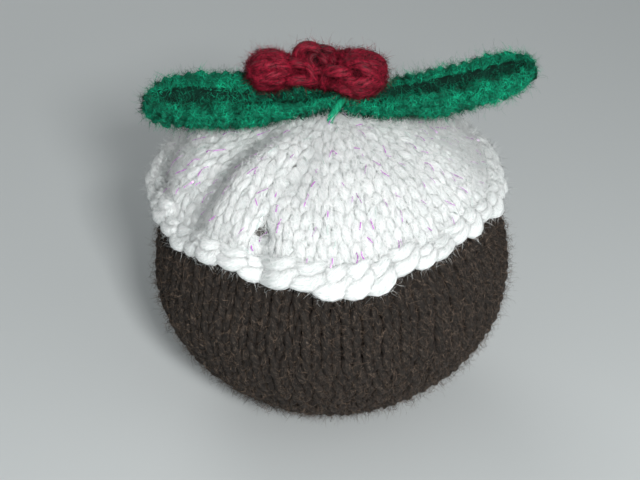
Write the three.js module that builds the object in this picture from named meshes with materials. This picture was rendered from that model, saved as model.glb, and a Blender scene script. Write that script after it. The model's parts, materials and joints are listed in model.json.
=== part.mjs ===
// A hand-knitted christmas pudding: a stuffed brown ball, a white knitted cap for the icing,
// two green leaves with rolled edges, and three red berries wound from thick yarn.
// Millimetres, +Z up. The origin is the centre of the flat spot that the ball rests on,
// +X runs to the right along the leaves and -Y is the front.
import * as THREE from "three";

// ---- Driving dimensions ----
const GAP = 0.35; // clearance between two pieces that rest on each other

const BALL_RADIUS = 40; // widest radius of the brown ball
const EQUATOR = 31.5; // height of the widest ring
const BALL_DROP = 32.6; // half-height below the equator, cut off by the ground
const BALL_RISE = 36.2; // half-height above the equator
const DROP_POWER = 1.93; // the lower half is very nearly an ellipse
const RISE_POWER = 2.15; // the upper half has slightly fuller shoulders

const CAP_THICKNESS = 2.8; // the knitted fabric of the cap
const HEM_HEIGHT = 49.4; // mean height of the cap's lower edge
const HEM_SIDE_TILT = 2.2; // the edge is this much higher on the right than the mean
const HEM_FRONT_DIP = 2.5; // and this much lower at the front
const HEM_TONGUE = 2.6; // and the middle of the front hangs this much lower again
const SCALLOPS = 42; // loops of the cast-off edge round the hem
const SCALLOP_DEPTH = 0.9; // how far each loop hangs down
const HEM_BEAD = 0.9; // extra thickness of the cast-off edge
const HEM_BEAD_HEIGHT = 3; // how far the bead reaches up the cap

const LEAF_HALF_SPAN = 5.1; // from the leaf's middle to the core of each rolled edge, at the broad end
const LEAF_BASE_HALF_SPAN = 4.8;
const LEAF_ROLL = 3.4; // radius of the rolled edges at the broad end
const LEAF_BASE_ROLL = 2;
const LEAF_GROOVE = 2.5; // depth of the valley between the two rolls

const BERRY_GROOVE = 0.17; // depth of the grooves between a berry's strands, as a share of its radius

const TAU = 2 * Math.PI;

// ---- Soft folds of the cap: direction in turns from +X, half-width in turns, height in mm ----
const FOLDS = [
  { turn: 0.655, spread: 0.04, height: 1.9, reach: 0.42 },
  { turn: 0.735, spread: 0.028, height: 1.6, reach: 0.5 },
  { turn: 0.83, spread: 0.045, height: 1.1, reach: 0.45 },
  { turn: 0.93, spread: 0.04, height: 1.2, reach: 0.3 },
  { turn: 0.06, spread: 0.05, height: 0.9, reach: 0.3 },
  { turn: 0.19, spread: 0.04, height: 1.3, reach: 0.4 },
  { turn: 0.32, spread: 0.05, height: 1.2, reach: 0.45 },
  { turn: 0.43, spread: 0.05, height: 2.1, reach: 0.36 },
  { turn: 0.5, spread: 0.06, height: 2.7, reach: 0.35 },
];

// ---- Shared helpers ----

function smoothstep(low, high, x) {
  const t = Math.min(1, Math.max(0, (x - low) / (high - low)));
  return t * t * (3 - 2 * t);
}

// A closed skin. LatheGeometry gives the rings and faces of a profile spun round an axis, and
// place(j, angle) then says where point j of the profile lies at each angle of the turn.
function skin(points, segments, place) {
  const profile = Array.from({ length: points }, (_, j) => {
    const edge = j === 0 || j === points - 1;
    return new THREE.Vector2(edge ? 0 : 1, j);
  });
  const geometry = new THREE.LatheGeometry(profile, segments);
  const position = geometry.attributes.position;
  for (let i = 0; i <= segments; i++) {
    const angle = ((i % segments) / segments) * TAU;
    for (let j = 0; j < points; j++) {
      const p = place(j, angle);
      position.setXYZ(i * points + j, p.x, p.y, p.z);
    }
  }
  geometry.deleteAttribute("uv");
  geometry.computeVertexNormals();
  return geometry;
}

function knitted(name, geometry, color) {
  const material = new THREE.MeshStandardMaterial({ color, roughness: 0.95, metalness: 0 });
  const mesh = new THREE.Mesh(geometry, material);
  mesh.name = name;
  return mesh;
}

// ---- The ball ----

// Half-profile of the ball: tilt runs from -PI/2 at the bottom to PI/2 at the top.
function ballProfile(tilt) {
  const power = tilt < 0 ? DROP_POWER : RISE_POWER;
  const half = tilt < 0 ? BALL_DROP : BALL_RISE;
  const radius = BALL_RADIUS * Math.abs(Math.cos(tilt)) ** (2 / power);
  const height = EQUATOR + Math.sign(tilt) * half * Math.abs(Math.sin(tilt)) ** (2 / power);
  return new THREE.Vector2(radius, height);
}

function ballNormal(tilt) {
  const step = 1e-3;
  const along = ballProfile(Math.min(tilt + step, Math.PI / 2)).sub(ballProfile(tilt - step));
  return new THREE.Vector2(along.y, -along.x).normalize();
}

// The stuffing is never quite even: two shallow waves round the ball.
function stuffing(angle) {
  return 0.35 * Math.cos(2 * angle + 0.6) + 0.25 * Math.cos(3 * angle - 1.1);
}

// A point of the ball's surface, or of a surface that lies off it by a distance.
function onBall(tilt, angle, off = 0) {
  const p = ballProfile(tilt).addScaledVector(ballNormal(tilt), off);
  const radius = Math.max(0, p.x + stuffing(angle) * Math.cos(tilt) ** 2);
  return new THREE.Vector3(radius * Math.cos(angle), radius * Math.sin(angle), p.y);
}

function makeBall() {
  const rings = 18;
  const flatTilt = -Math.asin((EQUATOR / BALL_DROP) ** (DROP_POWER / 2)); // where it meets the ground
  const points = rings + 2;
  return skin(points, 56, (j, angle) => {
    if (j === 0) return new THREE.Vector3(0, 0, 0);
    if (j === points - 1) return new THREE.Vector3(0, 0, EQUATOR + BALL_RISE);
    const tilt = flatTilt + ((Math.PI / 2 - flatTilt) * (j - 1)) / rings;
    return onBall(tilt, angle);
  });
}

// ---- The cap ----

function scallop(angle) {
  return Math.abs(Math.sin((SCALLOPS * angle) / 2));
}

// How far an angle lies from a direction, both ways round, in turns.
function turnsApart(angle, turn) {
  const apart = Math.abs(angle / TAU - turn);
  return Math.min(apart, 1 - apart);
}

// Height of the hem round the cap, without its scallops.
function hemHeight(angle) {
  const waves = 0.5 * Math.sin(3 * angle + 0.4) + 0.35 * Math.sin(5 * angle - 0.9);
  const tongue = HEM_TONGUE * Math.exp(-((turnsApart(angle, 0.735) / 0.075) ** 2));
  return HEM_HEIGHT + HEM_SIDE_TILT * Math.cos(angle) + HEM_FRONT_DIP * Math.sin(angle) + waves - tongue;
}

function tiltAt(height) {
  return Math.asin(((height - EQUATOR) / BALL_RISE) ** (RISE_POWER / 2));
}

// How far the folds lift the fabric, at a share of the way from the hem (0) to the crown (1).
function foldLift(angle, share) {
  return FOLDS.reduce((sum, fold) => {
    const across = Math.exp(-((turnsApart(angle, fold.turn) / fold.spread) ** 2));
    const along = Math.exp(-(((share - fold.reach) / 0.3) ** 2));
    return sum + fold.height * across * along * smoothstep(0.85, 0.5, share);
  }, 0);
}

function makeCap() {
  const outerRings = 11;
  const innerRings = 6;
  const points = outerRings + innerRings + 3;
  return skin(points, 3 * SCALLOPS, (j, angle) => {
    const hem = hemHeight(angle);
    if (j <= innerRings) {
      // the inside, from the crown down to the hem
      const share = 1 - j / innerRings;
      if (share === 1) return new THREE.Vector3(0, 0, EQUATOR + BALL_RISE + GAP);
      return onBall(tiltBetween(hem, share), angle, GAP + 0.12);
    }
    if (j === innerRings + 1) {
      // the underside of the cast-off edge
      const under = tiltAt(hem - SCALLOP_DEPTH * scallop(angle));
      return onBall(under, angle, GAP + 0.55 * CAP_THICKNESS);
    }
    const share = (j - innerRings - 2) / outerRings;
    if (share === 1) {
      return new THREE.Vector3(0, 0, EQUATOR + BALL_RISE + GAP + CAP_THICKNESS);
    }
    const tilt = tiltBetween(hem, share ** 1.15);
    const up = (onBall(tilt, angle).z - hem) / HEM_BEAD_HEIGHT;
    const bead = HEM_BEAD * Math.exp(-(up ** 2)) * (0.35 + 0.65 * scallop(angle));
    return onBall(tilt, angle, GAP + CAP_THICKNESS + bead + foldLift(angle, share));
  });
}

// The tilt at a share of the way from the hem (0) to the crown (1).
function tiltBetween(hem, share) {
  const low = tiltAt(hem);
  return low + (Math.PI / 2 - low) * share;
}

// ---- The leaves ----

// A leaf lies along +X from its base. Both long edges roll up, with a valley between them.
// lift raises the tip, cant turns the far end about the leaf's own length.
function makeLeaf({ length, lift, liftPower, cant }) {
  const rings = 18;
  const points = rings + 1;
  return skin(points, 24, (j, angle) => {
    const share = (1 - Math.cos((Math.PI * j) / rings)) / 2;
    const ends = Math.max(0, 1 - Math.abs(2 * share - 1) ** 5) ** 0.5;
    const spread = smoothstep(0, 0.5, share);
    const roll = ends * (LEAF_BASE_ROLL + (LEAF_ROLL - LEAF_BASE_ROLL) * spread);
    const span = ends * (LEAF_BASE_HALF_SPAN + (LEAF_HALF_SPAN - LEAF_BASE_HALF_SPAN) * spread);
    const side = Math.tanh(4 * Math.cos(angle));
    const valley = Math.exp(-((side / 0.6) ** 2)) * smoothstep(0, 0.25, share) * smoothstep(1, 0.8, share);
    const dent = Math.sin(angle) > 0 ? LEAF_GROOVE * valley : 0;
    const local = new THREE.Vector2(span * side + roll * Math.cos(angle), roll * Math.sin(angle) - dent);
    local.rotateAround(new THREE.Vector2(0, 0), cant * smoothstep(0, 0.7, share));
    return new THREE.Vector3(length * share, local.x, local.y + lift * share ** liftPower);
  });
}

// ---- The berries ----

// A wad of fat yarn turns, with a groove between one turn and the next. One loop of the yarn may
// stand up from it: knob gives the direction and height of that loop.
function makeBerry({ radii, turns, knob }) {
  const points = 17;
  return skin(points, 18, (j, angle) => {
    const tilt = -Math.PI / 2 + (Math.PI * j) / (points - 1);
    const ridge = Math.abs(Math.cos(turns * tilt));
    const size = 1 - BERRY_GROOVE + BERRY_GROOVE * ridge;
    const around = j === 0 || j === points - 1 ? 0 : Math.cos(tilt);
    const out = new THREE.Vector3(around * Math.cos(angle), around * Math.sin(angle), Math.sin(tilt));
    const near = knob ? 1 - out.dot(knob.toward) : 1;
    const loop = knob ? knob.height * Math.exp(-((near / 0.2) ** 2)) : 0;
    return out.clone().multiply(radii).multiplyScalar(size).addScaledVector(out, loop);
  });
}

// ---- Putting it together ----

const BROWN = 0x3a3029;
const WHITE = 0xeef1f0;
const GREEN = 0x0a6b4a;
const RED = 0xa01528;

const CROWN = EQUATOR + BALL_RISE + GAP + CAP_THICKNESS; // top of the cap

const pudding = new THREE.Group();
pudding.add(knitted("pudding_body", makeBall(), BROWN));
pudding.add(knitted("icing_cap", makeCap(), WHITE));

const leaves = [
  {
    name: "leaf_left",
    shape: { length: 43.5, lift: -0.7, liftPower: 1.3, cant: -0.24 },
    at: [2.3, -0.4, CROWN + LEAF_BASE_ROLL + GAP],
    heading: Math.PI + 0.03,
  },
  {
    name: "leaf_right",
    shape: { length: 40.5, lift: 7.8, liftPower: 2, cant: 0.06 },
    at: [3, -0.6, CROWN + LEAF_BASE_ROLL - 0.3],
    heading: 0.02,
  },
];
for (const { name, shape, at, heading } of leaves) {
  const leaf = knitted(name, makeLeaf(shape), GREEN);
  leaf.position.set(...at);
  leaf.rotation.z = heading;
  pudding.add(leaf);
}

const berries = [
  {
    name: "berry_left",
    wad: { radii: new THREE.Vector3(4.3, 4.3, 5.8), turns: 3 },
    at: [-12.8, 0.4, 79.4],
    turn: [0, 1.5, 0.1],
  },
  {
    name: "berry_middle",
    wad: {
      radii: new THREE.Vector3(4.6, 4.6, 4.5),
      turns: 3,
      knob: { toward: new THREE.Vector3(-0.6, 0.1, 0.79).normalize(), height: 2.2 },
    },
    at: [-2.4, 1.8, 79.25],
    turn: [0.1, 0, 0],
  },
  {
    name: "berry_right",
    wad: { radii: new THREE.Vector3(5.2, 5, 5.3), turns: 3 },
    at: [7, -2, 79.5],
    turn: [-0.45, 0.5, 0],
  },
];
for (const { name, wad, at, turn } of berries) {
  const berry = knitted(name, makeBerry(wad), RED);
  berry.position.set(...at);
  berry.rotation.set(...turn);
  pudding.add(berry);
}

export default pudding;
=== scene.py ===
import json
import math
import random

import bpy
import numpy as np
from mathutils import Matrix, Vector
from mathutils.bvhtree import BVHTree

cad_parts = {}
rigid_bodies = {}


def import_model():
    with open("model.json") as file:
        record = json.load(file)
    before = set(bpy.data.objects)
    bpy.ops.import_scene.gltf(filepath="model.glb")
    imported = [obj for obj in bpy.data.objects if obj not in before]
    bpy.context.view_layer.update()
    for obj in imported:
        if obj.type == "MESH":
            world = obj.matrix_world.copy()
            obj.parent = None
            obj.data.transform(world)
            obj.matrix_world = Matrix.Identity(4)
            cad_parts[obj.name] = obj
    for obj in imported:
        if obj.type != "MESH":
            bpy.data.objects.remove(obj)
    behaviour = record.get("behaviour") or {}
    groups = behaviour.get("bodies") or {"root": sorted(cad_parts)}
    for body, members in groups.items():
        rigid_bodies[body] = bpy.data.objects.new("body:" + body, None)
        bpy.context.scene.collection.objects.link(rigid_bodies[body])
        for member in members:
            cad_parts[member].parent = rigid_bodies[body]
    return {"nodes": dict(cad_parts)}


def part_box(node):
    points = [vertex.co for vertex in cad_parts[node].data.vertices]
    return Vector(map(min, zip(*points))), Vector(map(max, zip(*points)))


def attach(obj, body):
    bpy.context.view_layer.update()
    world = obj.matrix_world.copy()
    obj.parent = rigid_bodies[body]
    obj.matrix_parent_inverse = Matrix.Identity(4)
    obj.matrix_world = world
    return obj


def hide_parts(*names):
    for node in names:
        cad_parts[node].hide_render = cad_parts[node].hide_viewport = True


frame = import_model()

MM = 0.001
TAU = 2 * math.pi
SEED = 20

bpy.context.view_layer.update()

# ---- Gauge of the knitting, in millimetres ----
# wales: columns of stitches round the widest part; width and row: one stitch's size;
# yarn: its radius; spread, relief and slant: the loop's width, depth and lean;
# uneven: how much the stitches differ; flat: the yarn's height over its width
BROWN = {"wales": 60, "width": 4.19, "row": 2.95, "yarn": 0.98,
         "spread": 0.93, "relief": 0.85, "slant": 0.16, "uneven": 1.8}
WHITE = {"wales": 58, "width": 4.4, "row": 3.05, "yarn": 1.22,
         "spread": 1.0, "relief": 0.42, "slant": 0, "uneven": 1.8, "flat": 0.72}
GREEN = {"width": 3.6, "row": 2.5, "yarn": 1.0,
         "spread": 1.0, "relief": 0.9, "slant": 0, "uneven": 2.6}
HEM = {"width": 4.8, "row": 3.7}
VARIANTS = 8            # different stitches in each colour
HEM_VARIANTS = 12
TINSEL_KINDS = 3        # ribbons for each white stitch
WANDER = 0.34           # mm that the white stitches wander, with the tinsel on them

# ---- The cap's pucker and the leaves' grooves ----
PUCKER = (0.679, 57.4)  # share of a turn, height over the floor in mm
PUCKER_GAP = 2.0        # mm round the pucker that hold no stitch
GROOVE_DEPTH = 3.0      # mm

GOLDEN = 0.6180339887   # steps of this share spread things evenly
GOLDEN_ANGLE = 2.39996


# =====================================================================================
# Helpers for meshes
# =====================================================================================

def smoothstep(low, high, x):
    t = np.clip((np.asarray(x, float) - low) / (high - low), 0, 1)
    return t * t * (3 - 2 * t)


def make_object(name, verts, faces, smooth=True):
    mesh = bpy.data.meshes.new(name)
    mesh.from_pydata([tuple(v) for v in verts], [], [tuple(f) for f in faces])
    mesh.update()
    if smooth:
        mesh.polygons.foreach_set("use_smooth", [True] * len(mesh.polygons))
    obj = bpy.data.objects.new(name, mesh)
    bpy.context.scene.collection.objects.link(obj)
    return obj


def put_floats(mesh, name, values):
    layer = mesh.attributes.new(name, "FLOAT", "POINT")
    layer.data.foreach_set("value", np.asarray(values, np.float32).ravel())


def put_vectors(mesh, name, values):
    layer = mesh.attributes.new(name, "FLOAT_VECTOR", "POINT")
    layer.data.foreach_set("vector", np.asarray(values, np.float32).ravel())


def put_uv(mesh, name, per_vertex):
    layer = mesh.uv_layers.new(name=name)
    corners = np.zeros(len(mesh.loops), np.int32)
    mesh.loops.foreach_get("vertex_index", corners)
    layer.data.foreach_set("uv", np.asarray(per_vertex, np.float32)[corners].ravel())


def way_out(turn, tilt):
    """The direction at an angle round the upright axis and an angle over the level."""
    return Vector((math.cos(turn) * math.cos(tilt), math.sin(turn) * math.cos(tilt), math.sin(tilt)))


def distances_along(line):
    """How far along a line of points each of them is."""
    return np.concatenate([[0], np.cumsum(np.linalg.norm(np.diff(line, axis=0), axis=1))])


def girth_of(ring):
    """The length of a closed ring of points."""
    return np.linalg.norm(np.diff(np.vstack([ring, ring[:1]]), axis=0), axis=1).sum()


def smooth_path(keys, count, closed=False):
    """count points, evenly spaced along a Catmull-Rom curve through the key points. A fourth
    column, such as a radius, is carried along."""
    keys = np.asarray(keys, float)
    if closed:
        keys = np.vstack([keys[-1], keys, keys[0], keys[1]])
    else:
        keys = np.vstack([2 * keys[0] - keys[1], keys, 2 * keys[-1] - keys[-2]])
    fine = []
    for k in range(1, len(keys) - 2):
        a, b, c, d = keys[k - 1], keys[k], keys[k + 1], keys[k + 2]
        for t in np.linspace(0, 1, 24, endpoint=False):
            fine.append(0.5 * (2 * b + (c - a) * t + (2 * a - 5 * b + 4 * c - d) * t ** 2
                               + (3 * b - a - 3 * c + d) * t ** 3))
    fine.append(keys[-2])
    fine = np.array(fine)
    length = distances_along(fine[:, :3])
    steps = np.linspace(0, length[-1], count + 1 if closed else count)
    if closed:
        steps = steps[:-1]
    return np.stack([np.interp(steps, length, fine[:, c]) for c in range(fine.shape[1])], 1)


def strand(path, radii, sides, closed=False, out=(0, 0, 1), flat=1.0):
    """A yarn tube along a path, as (verts, faces, uv). uv.x is the length along the yarn and
    uv.y goes once round it, starting at the side that faces away from out."""
    path = np.asarray(path, float)
    count = len(path)
    if closed:
        tangent = np.roll(path, -1, 0) - np.roll(path, 1, 0)
    else:
        tangent = np.gradient(path, axis=0)
    tangent /= np.linalg.norm(tangent, axis=1)[:, None]
    out = np.asarray(out, float)
    forward = tangent @ out if out.ndim == 1 else (tangent * out).sum(1)
    up = out - tangent * forward[:, None]
    up /= np.linalg.norm(up, axis=1)[:, None] + 1e-12
    side = np.cross(tangent, up)
    radii = np.broadcast_to(np.asarray(radii, float), (count,))
    around = np.arange(sides) / sides * TAU + math.pi
    ring = (np.cos(around)[None, :, None] * up[:, None, :] * flat
            + np.sin(around)[None, :, None] * side[:, None, :])
    verts = (path[:, None, :] + ring * radii[:, None, None]).reshape(-1, 3)
    uv = np.stack([np.repeat(distances_along(path), sides), np.tile(np.arange(sides) / sides, count)], 1)
    faces = []
    for k in range(count if closed else count - 1):
        n = (k + 1) % count
        for s in range(sides):
            t = (s + 1) % sides
            faces.append((k * sides + t, n * sides + t, n * sides + s, k * sides + s))
    if not closed:
        faces.append(tuple(range(sides))[::-1])
        faces.append(tuple(range((count - 1) * sides, count * sides)))
    return verts, faces, uv


def joined(parts):
    """Several (verts, faces, uv) lists as one."""
    verts, faces, uvs, base = [], [], [], 0
    for v, f, uv in parts:
        verts.append(v)
        uvs.append(uv)
        faces += [tuple(i + base for i in face) for face in f]
        base += len(v)
    return np.vstack(verts), faces, np.vstack(uvs)


# =====================================================================================
# Fabric surfaces, taken from the solids
# =====================================================================================

def solid_tree(node):
    """A node's solid as a tree for casting rays at, and its vertices."""
    obj = frame["nodes"][node]
    verts = [v.co.copy() for v in obj.data.vertices]
    faces = [tuple(p.vertices) for p in obj.data.polygons]
    return BVHTree.FromPolygons(verts, faces), np.array([tuple(v) for v in verts])


def soften(grid, times):
    """A little smoothing of a grid of rows (first axis) and columns round (second axis)."""
    for _ in range(times):
        grid = (np.roll(grid, 1, 1) + 2 * grid + np.roll(grid, -1, 1)) / 4
        grid[1:-1] = (grid[:-2] + 2 * grid[1:-1] + grid[2:]) / 4
    return grid


def even_rows(points, rows):
    """The same surface with its rows evenly spaced along each column, and the columns' length."""
    made = np.zeros((rows, points.shape[1], 3))
    lengths = []
    for c in range(points.shape[1]):
        column = points[:, c]
        along = distances_along(column)
        lengths.append(along[-1])
        steps = np.linspace(0, along[-1], rows)
        for k in range(3):
            made[:, c, k] = np.interp(steps, along, column[:, k])
    return made, float(np.mean(lengths))


def surface_normals(points):
    """Outward normals of a grid whose columns go round anticlockwise and whose rows go up."""
    du = np.roll(points, -1, 1) - np.roll(points, 1, 1)
    dv = np.gradient(points, axis=0)
    n = np.cross(du, dv)
    size = np.linalg.norm(n, axis=2)
    n /= np.maximum(size, 1e-12)[:, :, None]
    for row, beside in ((0, 1), (-1, -2)):
        pole = n[beside].mean(0)
        if np.linalg.norm(du[row], axis=1).max() < 1e-6:
            n[row] = pole / np.linalg.norm(pole)
    return n


def fabric(name, points, normals, cover=None):
    """A grid mesh with a chart: x of the chart goes once round, y goes up the rows. cover says,
    for each point, how thickly loose fibres grow there. It is only worked with, never shown."""
    rows, cols = points.shape[:2]
    p = np.concatenate([points, points[:, :1]], 1).reshape(-1, 3)
    n = np.concatenate([normals, normals[:, :1]], 1).reshape(-1, 3)
    wide = cols + 1
    faces = [(r * wide + c, r * wide + c + 1, (r + 1) * wide + c + 1, (r + 1) * wide + c)
             for r in range(rows - 1) for c in range(cols)]
    obj = make_object(name, p, faces)
    u = np.tile(np.arange(wide) / cols, rows)
    v = np.repeat(np.arange(rows) / (rows - 1), wide)
    put_uv(obj.data, "chart", np.stack([u, v], 1))
    put_vectors(obj.data, "outward", n)
    cover = np.ones((rows, cols)) if cover is None else cover
    put_floats(obj.data, "depth", np.concatenate([cover, cover[:, :1]], 1))
    put_floats(obj.data, "tone", np.ones(len(p)))
    obj.hide_render = True
    return obj


def round_surface(node, rows, cols, times):
    """The skin of a round solid: columns go round it and rows go up from its underside."""
    tree, verts = solid_tree(node)
    centre = Vector((verts.min(0) + verts.max(0)) / 2)
    if node == "pudding_body":
        centre.x = centre.y = 0
    reach = np.zeros((rows, cols))
    tilts = np.linspace(-math.pi / 2, math.pi / 2, rows)
    for r, tilt in enumerate(tilts):
        for c in range(cols):
            reach[r, c] = tree.ray_cast(centre, way_out(c / cols * TAU, tilt))[3] or 0
    reach[0], reach[-1] = reach[0].mean(), reach[-1].mean()
    reach = soften(reach, times)
    a = np.arange(cols) / cols * TAU
    way = np.stack([np.cos(tilts)[:, None] * np.cos(a), np.cos(tilts)[:, None] * np.sin(a),
                    np.repeat(np.sin(tilts)[:, None], cols, 1)], 2)
    points = way * reach[:, :, None] + np.array(centre)
    points, length = even_rows(points, rows)
    return points, surface_normals(points), length


def fold(points, normals, keys, width, amount, lift=0.0):
    """Raises (or sinks) a surface along a line. keys are (share of a turn, height over the floor
    in mm), lift is how much of the amount goes straight up."""
    floor_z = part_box("pudding_body")[0].z
    cols = points.shape[1]
    spots = []
    for turn, height in keys:
        # the surface point nearest that height
        column = points[:, int(round(turn * cols)) % cols]
        spots.append(column[np.argmin(np.abs(column[:, 2] - floor_z - height * MM))])
    if len(spots) > 1:
        spots = smooth_path(spots, 12)
    near = np.min([np.linalg.norm(points - spot, axis=2) for spot in spots], axis=0)
    share = np.exp(-(near / (width * MM)) ** 2)[:, :, None]
    return points + (normals + np.array([0, 0, lift])) * share * amount * MM


# the cap's folds and puckers: line, width and height in mm, upward share
CAP_FOLDS = [
    ([PUCKER], 1.7, -2.8, 0),
    ([(0.681, 56.5), (0.688, 52.0), (0.692, 47.5)], 2.0, -1.7, 0),
    ([(0.700, 58.5), (0.708, 53.0), (0.712, 49.0)], 2.8, 1.5, 0),
    ([(0.666, 58.0), (0.669, 53.0), (0.667, 49.0)], 2.4, 0.9, 0),
    ([(0.633, 54.0), (0.636, 65.0), (0.647, 68.5)], 3.8, 1.4, 0),
    ([(0.606, 55.0), (0.594, 65.0), (0.611, 68.7)], 4.4, -0.8, 0),
    ([(0.560, 56.0), (0.555, 63.0)], 3.5, 0.9, 0),
    ([(0.697, 65.2)], 3.0, -1.1, 0),
    ([(0.40, 53.0), (0.44, 51.5), (0.48, 50.0)], 3.5, 0.5, 0.6),
    ([(0.49, 62.0), (0.51, 57.0), (0.53, 53.0)], 3.0, -1.3, 0),
    ([(0.955, 53.5), (0.985, 53.5)], 4.0, 0.5, 0.2),
    ([(0.80, 49.5)], 3.5, 0.8, 0),
    ([(0.86, 52.0), (0.87, 60.0)], 3.0, -0.7, 0),
    ([(0.12, 52.0), (0.10, 60.0)], 3.5, 1.3, 0),
    ([(0.25, 50.5), (0.24, 58.0)], 3.0, -1.0, 0),
]


def cap_surface(below):
    """The outside of the cap, from a little below the hem up to the crown. Also its length up a
    column, and how much of that is below the hem."""
    tree, verts = solid_tree("icing_cap")
    cols, rows = 180, 90
    outside, nearest = 0.2, 0.03    # rays start well outside the cap and stop before its inside
    waves = 10                      # the hem's line keeps only its slow waves
    centre = Vector((0, 0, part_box("pudding_body")[0].z + 0.47 * (verts[:, 2].max())))
    hem = np.zeros(cols)
    profiles = []
    for c in range(cols):
        tilts, reach = [], []
        for tilt in np.linspace(math.pi / 2, -0.2, 260):
            way = way_out(c / cols * TAU, tilt)
            hit = tree.ray_cast(centre + way * outside, -way, outside)
            if hit[0] is None or (hit[0] - centre).dot(way) < nearest:
                break
            tilts.append(tilt)
            reach.append((hit[0] - centre).length)
        hem[c] = tilts[-1]
        profiles.append((np.array(tilts)[::-1], np.array(reach)[::-1]))
    spread = np.fft.rfft(hem)
    spread[waves:] = 0
    hem = np.fft.irfft(spread, cols)
    share = np.linspace(0, 1, rows)
    tilts = hem[None, :] + (math.pi / 2 - hem[None, :]) * share[:, None]
    reach = np.stack([np.interp(tilts[:, c], *profiles[c]) for c in range(cols)], 1)
    reach = soften(reach, 3)
    reach[-1] = reach[-1].mean()
    a = np.arange(cols) / cols * TAU
    way = np.stack([np.cos(tilts) * np.cos(a), np.cos(tilts) * np.sin(a), np.sin(tilts)], 2)
    points = way * reach[:, :, None] + np.array(centre)
    points, length = even_rows(points, rows)
    # the fabric goes on a little way below the hem, for the loops that hang there
    down = points[0] - points[2]
    down /= np.linalg.norm(down, axis=1)[:, None]
    step = length / (rows - 1)
    extra = max(2, round(below / step))
    skirt = [points[0] + down * step * k for k in range(extra, 0, -1)]
    points = np.concatenate([np.array(skirt), points], 0)
    normals = surface_normals(points)
    flat = points
    for keys, width, amount, lift in CAP_FOLDS:
        points = points + fold(flat, normals, keys, width, amount, lift) - flat
    return points, surface_normals(points), length + extra * step, extra * step


def groove(node, round_it, along):
    """How deep the valley between a leaf's two rolls is at a place on its chart, from 0 to 1."""
    centre = 0.29 if node == "leaf_right" else 0.21
    across = np.exp(-((round_it - centre) / 0.055) ** 2)
    return across * smoothstep(0.02, 0.12, along) * (1 - smoothstep(0.86, 0.96, along))


def leaf_surface(node):
    """A leaf's skin: rows go along the leaf from its base to its tip, columns go round it."""
    tree, verts = solid_tree(node)
    low, high = verts[:, 0].min(), verts[:, 0].max()
    tip_left = abs(low) > abs(high)
    rows, cols = 90, 96
    share = (1 - np.cos(np.linspace(0, math.pi, rows))) / 2
    points = np.zeros((rows, cols, 3))
    for r, s in enumerate(share):
        s = min(max(s, 0.0015), 0.9985)
        x = (high - s * (high - low)) if tip_left else (low + s * (high - low))
        near = verts[np.abs(verts[:, 0] - x) < 0.0022]
        middle = (near.min(0) + near.max(0)) / 2
        centre = Vector((x, middle[1], middle[2]))
        for _ in range(8):
            up = tree.ray_cast(centre, Vector((0, 0, 1)))
            down = tree.ray_cast(centre, Vector((0, 0, -1)))
            if up[0] is None or down[0] is None:
                break
            centre.z = (up[0].z + down[0].z) / 2
        for c in range(cols):
            a = c / cols * TAU
            # seen from the tip, the columns go round anticlockwise
            way = Vector((0, math.cos(a) * (-1 if tip_left else 1), math.sin(a)))
            hit = tree.ray_cast(centre, way)
            points[r, c] = hit[0] if hit[0] is not None else centre
    points[0] = points[0].mean(0)
    points[-1] = points[-1].mean(0)
    points = soften(points, 2)
    # the bases run on, a little fuller, until the two leaves meet
    way = 1 if tip_left else -1
    base, wider, taller, longer = 0.16, 0.22, 0.15, 1.7
    for r, s in enumerate(share):
        near_base = (1 - min(s / base, 1)) ** 2
        middle = points[r].mean(0)
        fuller = np.array([1, 1 + wider * near_base, 1 + taller * near_base])
        points[r] = middle + (points[r] - middle) * fuller
        points[r, :, 0] += way * longer * MM * near_base
    # even spacing round each row
    for r in range(1, rows - 1):
        ring = np.vstack([points[r], points[r][:1]])
        along = distances_along(ring)
        steps = np.linspace(0, along[-1], cols + 1)[:-1]
        points[r] = np.stack([np.interp(steps, along, ring[:, k]) for k in range(3)], 1)
    points, length = even_rows(points, rows)
    share = groove(node, (np.arange(cols) / cols)[None, :], np.linspace(0, 1, rows)[:, None])
    points = points - surface_normals(points) * share[:, :, None] * GROOVE_DEPTH * MM
    return points, surface_normals(points), length


# =====================================================================================
# Geometry Nodes
# =====================================================================================

class Nodes:
    """A node tree that is built a node at a time. Inputs are values, or sockets to link."""

    def add(self, kind, inputs=None, **settings):
        node = self.group.nodes.new(kind)
        for key, value in settings.items():
            setattr(node, key, value)
        for key, value in (inputs or {}).items():
            socket = node.inputs[key]
            if isinstance(value, bpy.types.NodeSocket):
                self.group.links.new(value, socket)
            else:
                socket.default_value = value
        return node

    def math(self, operation, *values):
        return self.add("ShaderNodeMath", dict(enumerate(values)), operation=operation).outputs[0]


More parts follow.
